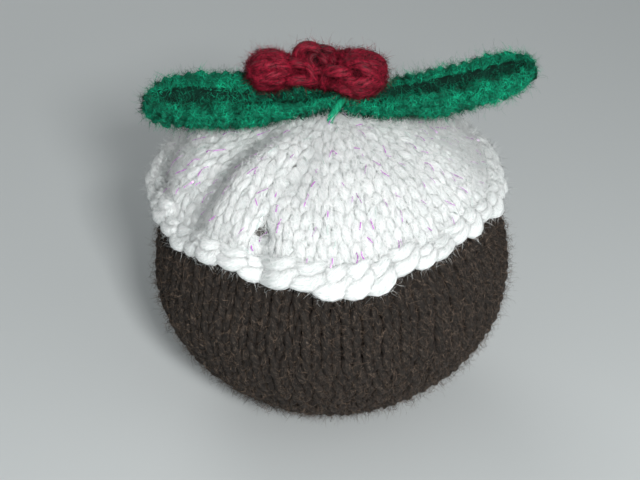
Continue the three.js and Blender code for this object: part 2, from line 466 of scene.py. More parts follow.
class Tree(Nodes):
    """A Geometry Nodes tree with named inputs."""

    def __init__(self, name, inputs):
        self.group = bpy.data.node_groups.new(name, "GeometryNodeTree")
        face = self.group.interface
        face.new_socket("Geometry", in_out="INPUT", socket_type="NodeSocketGeometry")
        for label, kind, value in inputs:
            item = face.new_socket(label, in_out="INPUT", socket_type="NodeSocket" + kind)
            if value is not None:
                item.default_value = value
        face.new_socket("Geometry", in_out="OUTPUT", socket_type="NodeSocketGeometry")
        self.inside = self.group.nodes.new("NodeGroupInput")
        self.end = self.group.nodes.new("NodeGroupOutput")

    def vector(self, operation, *values):
        return self.add("ShaderNodeVectorMath", dict(enumerate(values)), operation=operation).outputs[0]

    def scaled(self, vector, scale):
        return self.add("ShaderNodeVectorMath", {0: vector, "Scale": scale}, operation="SCALE").outputs[0]

    def attribute(self, name, kind="FLOAT"):
        return self.add("GeometryNodeInputNamedAttribute", {"Name": name}, data_type=kind).outputs[0]

    def random(self, low, high, seed):
        return self.add("FunctionNodeRandomValue", {2: low, 3: high, "Seed": seed},
                        data_type="FLOAT").outputs[1]

    def shapes(self, collection):
        return self.add("GeometryNodeCollectionInfo", {
            "Collection": collection, "Separate Children": True, "Reset Children": True,
        }).outputs[0]

    def finish(self, geometry, material):
        solid = self.add("GeometryNodeRealizeInstances", {0: geometry}).outputs[0]
        painted = self.add("GeometryNodeSetMaterial", {"Geometry": solid, "Material": material}).outputs[0]
        self.group.links.new(painted, self.end.inputs[0])


def run_tree(obj, tree, values, name):
    """Runs a tree on an object and returns the result as a plain mesh object."""
    modifier = obj.modifiers.new("nodes", "NODES")
    modifier.node_group = tree
    for item in tree.interface.items_tree:
        if item.item_type == "SOCKET" and item.in_out == "INPUT" and item.name in values:
            modifier[item.identifier] = values[item.name]
    bpy.context.view_layer.update()
    graph = bpy.context.evaluated_depsgraph_get()
    mesh = bpy.data.meshes.new_from_object(obj.evaluated_get(graph), depsgraph=graph)
    obj.modifiers.remove(modifier)
    mesh.name = name
    made = bpy.data.objects.new(name, mesh)
    bpy.context.scene.collection.objects.link(made)
    return made


def knitting_tree():
    """Sets stitches out on a chart, then wraps the chart round a fabric surface."""
    t = Tree("knitting", [
        ("Stitches", "Collection", None), ("Fabric", "Object", None), ("Material", "Material", None),
        ("Unevenness", "Float", 0.0001), ("Sink", "Float", 0.0),
    ])
    i = t.inside.outputs
    position = t.add("GeometryNodeInputPosition").outputs[0]
    points = t.add("GeometryNodeMeshToPoints", {"Mesh": i["Geometry"]}).outputs[0]
    scale = t.add("ShaderNodeCombineXYZ", {"X": t.attribute("width"), "Y": t.attribute("row"), "Z": 1.0})
    set_out = t.add("GeometryNodeInstanceOnPoints", {
        "Points": points, "Instance": t.shapes(i["Stitches"]), "Pick Instance": True,
        "Instance Index": t.attribute("variant", "INT"), "Scale": scale.outputs[0],
    }).outputs[0]
    flat = t.add("GeometryNodeRealizeInstances", {0: set_out}).outputs[0]
    place = t.add("ShaderNodeSeparateXYZ", {0: position}).outputs
    bottom, top = 0.0006, 0.9994    # just inside the chart's edges
    row = t.math("MINIMUM", t.math("MAXIMUM", place[1], bottom), top)
    spot = t.add("ShaderNodeCombineXYZ", {"X": t.math("FRACT", place[0]), "Y": row}).outputs[0]
    target = t.add("GeometryNodeObjectInfo", {"Object": i["Fabric"]}).outputs["Geometry"]
    chart = t.attribute("chart", "FLOAT_VECTOR")

    def sample(field):
        return t.add("GeometryNodeSampleUVSurface", {
            "Mesh": target, "Value": field, "Source UV Map": chart, "Sample UV": spot,
        }, data_type="FLOAT_VECTOR").outputs[0]

    foot = sample(position)
    outward = t.vector("NORMALIZE", sample(t.attribute("outward", "FLOAT_VECTOR")))
    lifted = t.vector("ADD", foot, t.scaled(outward, t.math("SUBTRACT", place[2], i["Sink"])))
    wrapped = t.add("GeometryNodeSetPosition", {"Geometry": flat, "Position": lifted}).outputs[0]
    # hand knitting is never quite even: it wanders in small and in wide waves
    waves = []
    for size, share in ((260.0, 1.0), (90.0, 1.6)):
        noise = t.add("ShaderNodeTexNoise", {"Vector": position, "Scale": size, "Detail": 1.0})
        centred = t.vector("SUBTRACT", noise.outputs["Color"], (0.5, 0.5, 0.5))
        waves.append(t.scaled(centred, t.math("MULTIPLY", i["Unevenness"], 2 * share)))
    uneven = t.add("GeometryNodeSetPosition", {
        "Geometry": wrapped, "Offset": t.vector("ADD", *waves),
    }).outputs[0]
    t.finish(uneven, i["Material"])
    return t.group


# fibres grow where depth and tone are above these ranges, and thin out inside them
RAISED = (0.3, 0.75)
HIDDEN = (-0.8, -0.1)


def fuzz_tree():
    """Fine loose fibres on a surface, more of them on its raised and well lit parts. Stand is 0
    for fibres that lie flat, over 1 for a halo."""
    t = Tree("fuzz", [
        ("Fibres", "Collection", None), ("Material", "Material", None), ("Density", "Float", 1.0e6),
        ("Shortest", "Float", 0.5), ("Longest", "Float", 1.4), ("Stand", "Float", 1.0), ("Seed", "Int", 3),
    ])
    i = t.inside.outputs
    raised, lit = (
        t.add("ShaderNodeMapRange", {
            "Value": t.attribute(label), "From Min": low, "From Max": high,
        }).outputs[0]
        for label, (low, high) in (("depth", RAISED), ("tone", HIDDEN)))
    thick = t.math("MULTIPLY", i["Density"], t.math("MULTIPLY", raised, lit))
    scatter = t.add("GeometryNodeDistributePointsOnFaces", {
        "Mesh": i["Geometry"], "Density": thick, "Seed": i["Seed"],
    }, distribute_method="RANDOM")
    normal = scatter.outputs["Normal"]
    aim = t.add("FunctionNodeRandomValue", {"Min": (-1, -1, -1), "Max": (1, 1, 1), "Seed": i["Seed"]},
                data_type="FLOAT_VECTOR").outputs[0]
    along = t.vector("NORMALIZE", t.vector("CROSS_PRODUCT", aim, normal))
    rise = t.math("MULTIPLY", i["Stand"], t.random(0.4, 1.6, 8))
    way = t.vector("ADD", along, t.scaled(normal, rise))
    aimed = t.add("FunctionNodeAlignRotationToVector", {"Vector": way}, axis="Z").outputs[0]
    turned = t.add("FunctionNodeRotateRotation", {
        "Rotation": aimed,
        "Rotate By": t.add("ShaderNodeCombineXYZ", {"Z": t.random(0.0, TAU, 5)}).outputs[0],
    }, rotation_space="LOCAL").outputs[0]
    which = t.add("FunctionNodeRandomValue", {4: 0, 5: 99, "Seed": 7}, data_type="INT").outputs[2]
    kept = t.add("GeometryNodeStoreNamedAttribute", {
        "Geometry": scatter.outputs["Points"], "Name": "surface", "Value": normal,
    }, data_type="FLOAT_VECTOR", domain="POINT").outputs[0]
    standing = t.add("GeometryNodeInstanceOnPoints", {
        "Points": kept, "Instance": t.shapes(i["Fibres"]), "Pick Instance": True,
        "Instance Index": which, "Rotation": turned, "Scale": t.random(i["Shortest"], i["Longest"], 6),
    }).outputs[0]
    # fuzz is lit like the surface it grows on, not like separate hairs
    solid = t.add("GeometryNodeRealizeInstances", {0: standing}).outputs[0]
    shaded = t.add("GeometryNodeSetMeshNormal", {
        "Mesh": solid, "Custom Normal": t.attribute("surface", "FLOAT_VECTOR"),
    }, mode="FREE", domain="POINT").outputs[0]
    bare = t.add("GeometryNodeRemoveAttribute", {"Geometry": shaded, "Name": "surface"}).outputs[0]
    t.finish(bare, i["Material"])
    return t.group


def collect(name, objects):
    """A hidden collection of shapes for the trees to pick from."""
    group = bpy.data.collections.new(name)
    bpy.context.scene.collection.children.link(group)
    for obj in objects:
        bpy.context.scene.collection.objects.unlink(obj)
        group.objects.link(obj)
        obj.hide_render = True
    return group


def discard(*things):
    """Removes objects, and collections with what they hold."""
    for thing in things:
        if isinstance(thing, bpy.types.Collection):
            for obj in list(thing.objects):
                bpy.data.objects.remove(obj)
            bpy.data.collections.remove(thing)
        else:
            bpy.data.objects.remove(thing)


# =====================================================================================
# Materials
# =====================================================================================

class Finish(Nodes):
    """A material with its nodes."""

    def __init__(self, name):
        self.material = bpy.data.materials.new(name)
        self.material.use_nodes = True
        self.group = self.material.node_tree
        self.shader = self.group.nodes["Principled BSDF"]

    def set(self, **values):
        """Values of the shader's sockets, named with _ for each space."""
        for key, value in values.items():
            self.shader.inputs[key.replace("_", " ")].default_value = value

    def paint(self, colour):
        self.group.links.new(colour, self.shader.inputs["Base Color"])

    def noise(self, where, scale, detail):
        node = self.add("ShaderNodeTexNoise", {"Vector": where, "Scale": scale, "Detail": detail})
        return node.outputs["Fac"]

    def mix(self, share, a, b, blend="MIX"):
        node = self.add("ShaderNodeMix", {0: share, 6: a, 7: b}, data_type="RGBA", blend_type=blend)
        return node.outputs[2]

    def ramp(self, value, low, high, to_low=0.0, to_high=1.0):
        return self.add("ShaderNodeMapRange", {"Value": value, "From Min": low, "From Max": high,
                                              "To Min": to_low, "To Max": to_high}).outputs[0]


def linear(r, g, b):
    """A colour given as 0 to 255 screen values."""
    def one(c):
        c /= 255
        return c / 12.92 if c <= 0.04045 else ((c + 0.055) / 1.055) ** 2.4
    return (one(r), one(g), one(b), 1.0)


def yarn_finish(name, dark, mid, light, plies=3, pitch=4.5, ply_shade=0.35, fibre_bump=0.5,
                shade=0.55, sheen=0.35, sheen_tint=(1, 1, 1, 1), roughness=0.8, specular=0.3,
                heather=None, soft=0.0):
    """Plied yarn: twisted plies and fine fibres that follow them, with painted shade between the plies and
    deep between the stitches. The yarn map runs along the yarn in millimetres and once round it; depth is 0
    deep between the stitches and
    1 on top of them; tone differs at random from stitch to stitch, and below 0 it paints a groove's shade."""
    f = Finish(name)
    uv = f.add("ShaderNodeUVMap", uv_map="yarn").outputs[0]
    along, around, _ = f.add("ShaderNodeSeparateXYZ", {0: uv}).outputs
    tone = f.add("ShaderNodeAttribute", attribute_name="tone").outputs["Fac"]
    depth = f.add("ShaderNodeAttribute", attribute_name="depth").outputs["Fac"]
    # the plies wind round the yarn once in every pitch millimetres
    turn = f.math("ADD", f.math("MULTIPLY", around, float(plies)), f.math("MULTIPLY", along, plies / pitch))
    ply = f.math("ABSOLUTE", f.math("SINE", f.math("MULTIPLY", turn, math.pi)))
    ply = f.math("POWER", ply, 0.6)
    # fibres: streaks that run along the plies
    streak = f.add("ShaderNodeCombineXYZ", {
        "X": f.math("MULTIPLY", along, 0.55),
        "Y": f.math("ADD", f.math("MULTIPLY", around, 11.0), f.math("MULTIPLY", along, 11.0 / pitch)),
        "Z": f.math("MULTIPLY", tone, 41.0),
    }).outputs[0]
    fibre = f.add("ShaderNodeTexNoise", {"Vector": streak, "Scale": 1.6, "Detail": 4.0,
                                        "Roughness": 0.65}).outputs["Fac"]
    fine = f.noise(streak, 3.0, 2.0)
    colour = f.mix(f.ramp(fibre, 0.33, 0.68), mid, light)
    colour = f.mix(f.ramp(fine, 0.35, 0.55, 0.75, 0.0), colour, dark)
    if heather:
        colour = f.mix(f.ramp(f.noise(streak, 2.9, 1.0), 0.62, 0.72), colour, heather)
    # painted shade: darker in the ply grooves, low between the stitches and in the leaves' grooves; tone also
    # varies at random from stitch to stitch
    shade_and_tone = f.ramp(ply, 0.0, 0.75, 1 - ply_shade, 1.0)
    for shading in (f.ramp(depth, 0.0, 1.0, 1 - shade, 1.0),
                    f.ramp(tone, 0.0, 1.0, 0.9, 1.08),
                    f.ramp(tone, -1.0, 0.0, 0.35, 1.0)):
        shade_and_tone = f.math("MULTIPLY", shade_and_tone, shading)
    grey = f.add("ShaderNodeCombineColor", {0: shade_and_tone, 1: shade_and_tone, 2: shade_and_tone}).outputs[0]
    f.paint(f.mix(1.0, colour, grey, "MULTIPLY"))
    relief = f.math("ADD", f.math("MULTIPLY", ply, 0.8), f.math("MULTIPLY", fibre, 0.9 * fibre_bump))
    relief = f.math("ADD", relief, f.math("MULTIPLY", fine, 0.5 * fibre_bump))
    bump = f.add("ShaderNodeBump", {"Height": relief, "Strength": 0.8, "Distance": 0.25 * MM})
    f.group.links.new(bump.outputs[0], f.shader.inputs["Normal"])
    f.set(Roughness=roughness, Specular_IOR_Level=specular,
          Sheen_Weight=sheen, Sheen_Roughness=0.45, Sheen_Tint=sheen_tint,
          Subsurface_Weight=soft, Subsurface_Radius=(1, 1, 1), Subsurface_Scale=1.5 * MM)
    return f.material


def plain_finish(name, dark, light, scale=900.0):
    """Loose fibres and hidden cores: one colour that varies a little."""
    f = Finish(name)
    where = f.add("ShaderNodeTexCoord").outputs["Object"]
    f.paint(f.mix(f.ramp(f.noise(where, scale, 2.0), 0.35, 0.65), dark, light))
    f.set(Roughness=0.9, Specular_IOR_Level=0.2)
    return f.material


def tinsel_finish(name, colour):
    f = Finish(name)
    f.set(Base_Color=colour, Metallic=0.25, Roughness=0.25)
    return f.material


def lining_finish(pucker):
    """Inside the cap's fabric: pale, but with painted shade in some of the gaps and where the pucker opens.
    """
    f = Finish("white_core")
    where = f.add("ShaderNodeTexCoord").outputs["Object"]
    away = f.add("ShaderNodeVectorMath", {0: where, 1: tuple(pucker)}, operation="DISTANCE").outputs["Value"]
    # painted shade: dark patches in some of the gaps, and round the pucker
    closed = f.ramp(f.noise(where, 210.0, 1.0), 0.40, 0.46)
    pale = f.math("MULTIPLY", closed, f.ramp(away, 2.0 * MM, 3.0 * MM))
    f.paint(f.mix(pale, linear(78, 75, 71), linear(226, 231, 230)))
    f.set(Roughness=0.9)
    return f.material


brown_yarn = yarn_finish("brown_yarn", linear(7, 5, 5), linear(20, 17, 14), linear(52, 45, 39),
                         pitch=11.0, shade=0.72, sheen=0.1, sheen_tint=linear(150, 130, 118),
                         heather=linear(100, 88, 78))
white_yarn = yarn_finish("white_yarn", linear(206, 215, 212), linear(238, 243, 242), linear(249, 251, 250),
                         pitch=14.0, ply_shade=0.03, shade=0.0, sheen=0.1, fibre_bump=2.0,
                         specular=0.15, soft=0.5)
green_yarn = yarn_finish("green_yarn", linear(0, 26, 19), linear(0, 72, 53), linear(8, 150, 112),
                         ply_shade=0.3, shade=0.75, sheen=0.08, sheen_tint=linear(60, 200, 150), specular=0.2)
green_strand = yarn_finish("green_strand", linear(0, 100, 72), linear(2, 146, 106), linear(20, 180, 132),
                           ply_shade=0.3, shade=0.2, sheen=0.1, sheen_tint=linear(60, 200, 150))
red_yarn = yarn_finish("red_yarn", linear(20, 0, 4), linear(74, 2, 18), linear(166, 28, 55),
                       plies=5, pitch=15.0, ply_shade=0.5, shade=0.9, sheen=0.05,
                       sheen_tint=linear(240, 130, 140), roughness=0.6, specular=0.22)


violet_tinsel = tinsel_finish("violet_tinsel", linear(222, 132, 232))
clear_tinsel = tinsel_finish("clear_tinsel", linear(225, 240, 235))
brown_fibre = plain_finish("brown_fibre", linear(16, 13, 11), linear(142, 122, 106))
white_fibre = plain_finish("white_fibre", linear(238, 243, 242), linear(253, 254, 253), 500.0)
green_fibre = plain_finish("green_fibre", linear(0, 34, 25), linear(24, 206, 155), 330.0)
red_fibre = plain_finish("red_fibre", linear(56, 2, 13), linear(178, 34, 62))
# the cores are darker than their yarn: painted shade for what shows deep in the gaps between stitches
brown_core = plain_finish("brown_core", linear(10, 8, 7), linear(18, 15, 13), 300.0)
green_core = plain_finish("green_core", linear(0, 30, 22), linear(0, 46, 34), 300.0)
red_core = plain_finish("red_core", linear(40, 3, 10), linear(66, 7, 18), 300.0)


# =====================================================================================
# Stitches
# =====================================================================================

def stitch_path(gauge, rng, purl=False):
    """One loop of plain knitting: up through the loop below, over, and down again.
    x is in wale widths, y in rows and z in metres; the fourth column is the yarn's radius."""
    w, h, r = gauge["width"], gauge["row"], gauge["yarn"]
    e, n, d, slant = gauge["spread"], gauge["uneven"], gauge["relief"], gauge["slant"]
    lean = rng.uniform(-0.12, 0.12) * n
    fat = 1 + rng.uniform(-0.06, 0.08) * n
    rise = rng.uniform(-0.1, 0.1) * n
    half = [
        (0.50 * w, -0.20 * h, -0.80, 0.72),
        (0.36 * w, -0.16 * h, -0.72, 0.74),
        (0.17 * w, 0.06 * h, -0.20, 0.84),
        (0.155 * w * e, 0.36 * h, 0.55, 0.98),
        (0.235 * w * e, 0.80 * h, 0.78, 1.06),
        (0.330 * w * e, 1.18 * h, 0.50, 1.0),
        (0.320 * w * e, 1.48 * h, -0.05, 0.86),
        (0.170 * w * e, 1.66 * h, -0.50, 0.76),
    ]

    def key(side, x, y, z, k):
        sway = lean * smoothstep(-0.2, 1, y / h) * 0.8
        return (side * x + sway, y, z * r * d + rise * 0.6 - side * slant, k * r * fat)

    keys = [key(-1, *spot) for spot in half]
    keys.append((lean * 0.6, 1.70 * h, -0.62 * r * d, 0.74 * r * fat))
    keys += [key(1, *spot) for spot in reversed(half)]
    path = smooth_path(keys, 15)
    if purl:
        path[:, 2] *= -1
    return path


def stitch_object(name, gauge, path, rng, sides=6, closed=False):
    """A stitch's mesh in chart units: wale widths, rows and metres."""
    verts, faces, uv = strand(path[:, :3], path[:, 3], sides, closed, flat=gauge.get("flat", 1.0))
    # every stitch shows another stretch of the yarn
    uv[:, 0] += rng.uniform(0, 40)
    # depth is 0 low in the fabric and 1 on top; the yarn finish paints shade on the low parts
    low, high = verts[:, 2].min(), verts[:, 2].max()
    depth = np.clip((verts[:, 2] - low) / (high - low), 0, 1)
    verts = verts / np.array([gauge["width"], gauge["row"], 1000.0])
    obj = make_object(name, verts, faces)
    put_uv(obj.data, "yarn", uv)
    put_floats(obj.data, "depth", depth)
    return obj


def chart_object(name, stitches):
    """The places of the stitches: rows of (x, y, width, row, tone, variant), in shares of the chart."""
    s = np.array(stitches, float)
    obj = make_object(name, np.column_stack([s[:, 0], s[:, 1], np.zeros(len(s))]), [])
    for column, label in ((2, "width"), (3, "row"), (4, "tone")):
        put_floats(obj.data, label, s[:, column])
    layer = obj.data.attributes.new("variant", "INT", "POINT")
    layer.data.foreach_set("value", s[:, 5].astype(np.int32))
    obj.hide_render = True
    return obj


def wale_chart(points, length, gauge, low, high, rng, least):
    """Where the stitches go on a round surface: wales run up the rows and drop out one by one
    where it narrows, down to the least number. low and high are shares of the way up."""
    wales = gauge.get("wales")
    rows = int(round((high - low) * length / (gauge["row"] * MM)))
    girth = []
    for k in range(rows + 1):
        v = low + (high - low) * (k + 0.5) / rows
        girth.append(girth_of(points[int(round(min(max(v, 0), 1) * (len(points) - 1)))]))
    wanted = np.maximum(least, np.round(np.array(girth) / (gauge["width"] * MM)))
    if wales:
        wanted = np.minimum(wanted, wales)
    total = int(wanted.max())
    # each wale has a level: it is knitted where the wanted number of wales is above its level,
    # and narrows over a few wales' worth before it drops out
    level = np.argsort(np.argsort([(i * GOLDEN) % 1.0 for i in range(total)]))
    smooth_wanted = np.convolve(np.pad(wanted, 2, mode="edge"), [0.1, 0.2, 0.4, 0.2, 0.1], "valid")
    narrowing, narrowest = 3.0, 0.3
    made = []
    for k in range(rows):
        w = np.clip((smooth_wanted[k] - level) / narrowing, 0, 1)
        share = w / w.sum()
        start = np.cumsum(share) - share
        for i in range(total):
            if w[i] < narrowest:
                continue
            x = start[i] + share[i] / 2
            y = low + (high - low) * k / rows
            made.append((x, y, share[i], (high - low) / rows, rng.random(), rng.randrange(VARIANTS)))
    return made


# ---- Loose fibres ----

def fibre_objects(name, rng, length, radius, curly):
    """A few bent hairs: thin three-sided spindles, given in millimetres. A curly one has two
    bends and the others one."""
    made = []
    for k in range(6):
        ax, ay, bx, by = (rng.uniform(-0.42, 0.42) for _ in range(4))
        keys = np.array([(0, 0, 0), (ax, ay, 0.36), (ax * 1.2 + bx, ay * 1.2 + by, 0.72),
                         (ax * 0.6 + 2 * bx, ay * 0.6 + 2 * by, 0.98)]) * length * MM
        rings = (1, 2) if curly else (1,)
        verts = [keys[0]]
        for n in rings:
            for c in range(3):
                a = c / 3 * TAU
                corner = np.array([math.cos(a), math.sin(a), 0])
                verts.append(keys[n] + corner * radius * MM * (1.1 - 0.1 * n))
        verts.append(keys[3])
        faces = []
        last = 3 * len(rings)
        for c in range(3):
            d = (c + 1) % 3
            faces += [(0, 1 + d, 1 + c), (last - 2 + c, last - 2 + d, last + 1)]
            if curly:
                faces.append((1 + c, 1 + d, 4 + d, 4 + c))
        made.append(make_object(f"{name}_{k}", verts, faces))
    return made


knitting = knitting_tree()
fuzz = fuzz_tree()
root = "root"


def finish_piece(obj, slot, *nodes):
    """Attaches a piece to the root body, and hides the part's nodes that it replaces; slot is not used."""
    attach(obj, root)
    if nodes:
        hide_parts(*nodes)
    return obj


def covered_area(mesh):
    """The area that fibres grow on, counted as the fuzz tree does."""
    def read(items, label, kind):
        values = np.zeros(len(items), kind)
        items.foreach_get(label, values)
        return values

    share = np.ones(len(mesh.vertices))
    for label, (low, high) in (("depth", RAISED), ("tone", HIDDEN)):
        values = read(mesh.attributes[label].data, "value", np.float32)
        share *= np.clip((values - low) / (high - low), 0, 1)
    corners = share[read(mesh.loops, "vertex_index", np.int32)]
    starts, sizes = (read(mesh.polygons, label, np.int32) for label in ("loop_start", "loop_total"))
    mean_share = np.add.reduceat(corners, starts) / sizes
    return float((mean_share * read(mesh.polygons, "area", np.float32)).sum())


def add_fuzz(surface, name, material, count, sizes, stand, length, radius, seed, slot, curly=False):
    """About count loose fibres over a surface. sizes is the range their length is scaled by,
    length and radius are in millimetres."""
    rng = random.Random(SEED + seed)
    group = collect(name + "_shapes", fibre_objects(name, rng, length, radius, curly))
    area = covered_area(surface.data)
    made = run_tree(surface, fuzz, {
        "Fibres": group, "Material": material, "Density": count / area, "Shortest": sizes[0],
        "Longest": sizes[1], "Stand": stand, "Seed": seed,
    }, name)
    discard(group)
    return finish_piece(made, slot)


def rest_on_floor(obj):
    """Stitches and fibres underneath are pressed flat by the floor."""
    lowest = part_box("pudding_body")[0].z + 0.02 * MM
    for v in obj.data.vertices:
        v.co.z = max(v.co.z, lowest)
    return obj


def knit(name, shapes, cloth, chart, material, unevenness, sink=0.0):
    """Knits a piece: the shapes go where the chart says, on the cloth."""
    return run_tree(chart, knitting, {
        "Stitches": shapes, "Fabric": cloth, "Material": material, "Unevenness": unevenness * MM,
        "Sink": sink * MM,
    }, name)


def core_object(name, points, normals, inset, material):
    """A closed skin just inside the stitches, so that nothing shows through them."""
    p = points - normals * inset
    rows, cols = p.shape[:2]
    verts = [p[0].mean(0)] + [v for ring in p[1:-1] for v in ring] + [p[-1].mean(0)]
    faces = [(0, 1 + (c + 1) % cols, 1 + c) for c in range(cols)]
    for r in range(rows - 3):
        a, b = 1 + r * cols, 1 + (r + 1) * cols
        faces += [(a + c, a + (c + 1) % cols, b + (c + 1) % cols, b + c) for c in range(cols)]
    last, top = 1 + (rows - 3) * cols, len(verts) - 1
    faces += [(last + c, last + (c + 1) % cols, top) for c in range(cols)]
    obj = make_object(name, verts, faces)
    obj.data.materials.append(material)
    return obj


# =====================================================================================
# The brown ball
# =====================================================================================

def make_ball():
    rng = random.Random(SEED)
    points, normals, length = round_surface("pudding_body", 120, 180, 6)
    inset = BROWN["yarn"] * MM * 1.5
    cloth = fabric("ball_fabric", points - normals * inset, normals)
    heights = points[:, :, 2].mean(1)
    # the knitting goes on a little way under the cap
    top = np.interp(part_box("icing_cap")[0].z + 8 * MM, heights,
                    np.arange(len(heights)) / (len(heights) - 1))
    shapes = collect("brown_stitches", [
        stitch_object(f"brown_stitch_{k}", BROWN, stitch_path(BROWN, rng), rng) for k in range(VARIANTS)])
    chart = chart_object("brown_chart", wale_chart(points, length, BROWN, 0.012, top, rng, 6))
    ball = knit("ball_knitting", shapes, cloth, chart, brown_yarn, 0.27)
    discard(shapes, chart)
    finish_piece(rest_on_floor(ball), "brown_knit", "pudding_body")

    core_rows = [*range(0, len(points), 4), len(points) - 1]
    core = core_object("ball_stuffing", points[core_rows, ::4], normals[core_rows, ::4],
                       inset + 0.5 * MM, brown_core)
    finish_piece(rest_on_floor(core), "brown_knit")

    bare = slice(1, int(top * len(points)))
    skin = fabric("ball_skin", (points - normals * 0.1 * MM)[bare], normals[bare])
    rest_on_floor(add_fuzz(ball, "ball_fibres", brown_fibre, 32000, (0.5, 1.5), 0.3, 2.0, 0.035, 11,
                           "brown_knit"))
    rest_on_floor(add_fuzz(skin, "ball_halo", brown_fibre, 8000, (0.5, 1.5), 1.0, 1.9, 0.011, 12,
                           "brown_knit", True))
    discard(cloth, skin)


# =====================================================================================
# The white cap
# =====================================================================================

def link_path(rng):
    """One cast-off loop of the hem: a fat flattened ring that sags like a scallop. In millimetres."""
    w, h = rng.uniform(0.9, 1.12), rng.uniform(0.85, 1.2)
    tip = rng.uniform(-0.1, 0.6)
    r = 1.36 * rng.uniform(0.92, 1.1)
    sag = rng.uniform(-0.2, 0.6)
    keys = [
        (-2.8, 1.2, -0.7, 0.8), (-2.0, 0.1, 0.2, 1.0), (-0.6, -0.8 - sag, 0.8, 1.12),
        (1.0, -0.7 - sag, 0.9, 1.12), (2.2, 0.3, 0.7, 1.0), (2.6, 1.3, 0.1, 0.9),
        (1.5, 1.3, 0.5, 1.0), (0.1, 0.9, 0.8, 1.05), (-1.5, 1.4, 0.2, 0.95),
    ]
    keys = [(x * w, y * h + tip * x * 0.3, z, k * r) for x, y, z, k in keys]
    return smooth_path(keys, 18, closed=True)


def tinsel_object(name, gauge, path, rng):
    """A thin metallic ribbon that lies on a stretch of one stitch's yarn."""
    fine = smooth_path(path, 60)
    # stretches of the loop's two legs, which are the parts that show
    start, stop = rng.choice([(14, 24), (36, 46), (18, 23), (38, 43), (15, 20), (38, 46)])
    part = fine[start:stop + 1:max(1, (stop - start) // 5)]
    tangent = np.gradient(part[:, :3], axis=0)
    tangent /= np.linalg.norm(tangent, axis=1)[:, None]
    up = np.array([0, 0, 1.0]) - tangent * tangent[:, 2:3]
    up /= np.linalg.norm(up, axis=1)[:, None]
    side = np.cross(tangent, up)
    tilt = rng.uniform(-0.7, 0.7)
    twist = rng.uniform(-0.12, 0.12)
    angle = tilt + twist * np.arange(len(part))
    out = up * np.cos(angle)[:, None] + side * np.sin(angle)[:, None]
    across = np.cross(tangent, out)
    middle = part[:, :3] + out * part[:, 3:4] * 1.12
    wide, thick = 0.115, 0.015
    verts, faces = [], []
    for k in range(len(part)):
        for dx, dz in ((-wide, -thick), (wide, -thick), (wide, thick), (-wide, thick)):
            verts.append(middle[k] + across[k] * dx + out[k] * dz)
    for k in range(len(part) - 1):
        for c in range(4):
            d = (c + 1) % 4
            faces.append((4 * k + 4 + c, 4 * k + 4 + d, 4 * k + d, 4 * k + c))
    faces.append((0, 1, 2, 3))
    last = 4 * (len(part) - 1)
    faces.append((last + 3, last + 2, last + 1, last))
    verts = np.array(verts) / np.array([gauge["width"], gauge["row"], 1000.0])
    return make_object(name, verts, faces, smooth=False)


def make_hem(points, cloth, length, hem, rng):
    """The cast-off edge: a ring of fat loops, which are larger and lower at the front."""
    shapes = collect("hem_links", [stitch_object(f"hem_link_{k}", HEM, link_path(rng), rng, 8, True)
                                   for k in range(HEM_VARIANTS)])
    count = int(girth_of(points[0]) / MM / HEM["width"])
    widths = np.array([rng.uniform(0.8, 1.25) for _ in range(count)])
    widths /= widths.sum()
    starts = np.cumsum(widths) - widths
    links = []
    for k in range(count):
        x = starts[k] + widths[k] / 2
        big = 1 + 0.3 * math.exp(-((x - 0.735) / 0.06) ** 2)
        raised = 0.090 + 0.022 * math.exp(-((x - 0.62) / 0.13) ** 2)
        links.append((x, hem + raised + rng.uniform(-0.012, 0.012), widths[k] * big * 1.12,
                      HEM["row"] * MM / length * big * rng.uniform(0.85, 1.15), rng.random(),
                      rng.randrange(HEM_VARIANTS)))
    chart = chart_object("hem_chart", links)
    made = knit("cap_hem", shapes, cloth, chart, white_yarn, 0.25, sink=-0.75)
    discard(shapes, chart)
    return finish_piece(made, "white_knit")


def make_tinsel(paths, stitches, cloth, rng):
    """Metallic threads that lie on some of the white stitches."""
    shapes = collect("tinsel_shapes", [
        tinsel_object(f"tinsel_{k:02d}", WHITE, paths[k // TINSEL_KINDS], rng)
        for k in range(VARIANTS * TINSEL_KINDS)])
    for name, material, share in (("tinsel_violet", violet_tinsel, 0.5),
                                  ("tinsel_clear", clear_tinsel, 0.2)):
        chosen = [(*s[:5], s[5] * TINSEL_KINDS + rng.randrange(TINSEL_KINDS))
                  for s in stitches if rng.random() < share]
        chart = chart_object(name + "_chart", chosen)
        finish_piece(knit(name, shapes, cloth, chart, material, WANDER), "white_knit")
        discard(chart)
    discard(shapes)


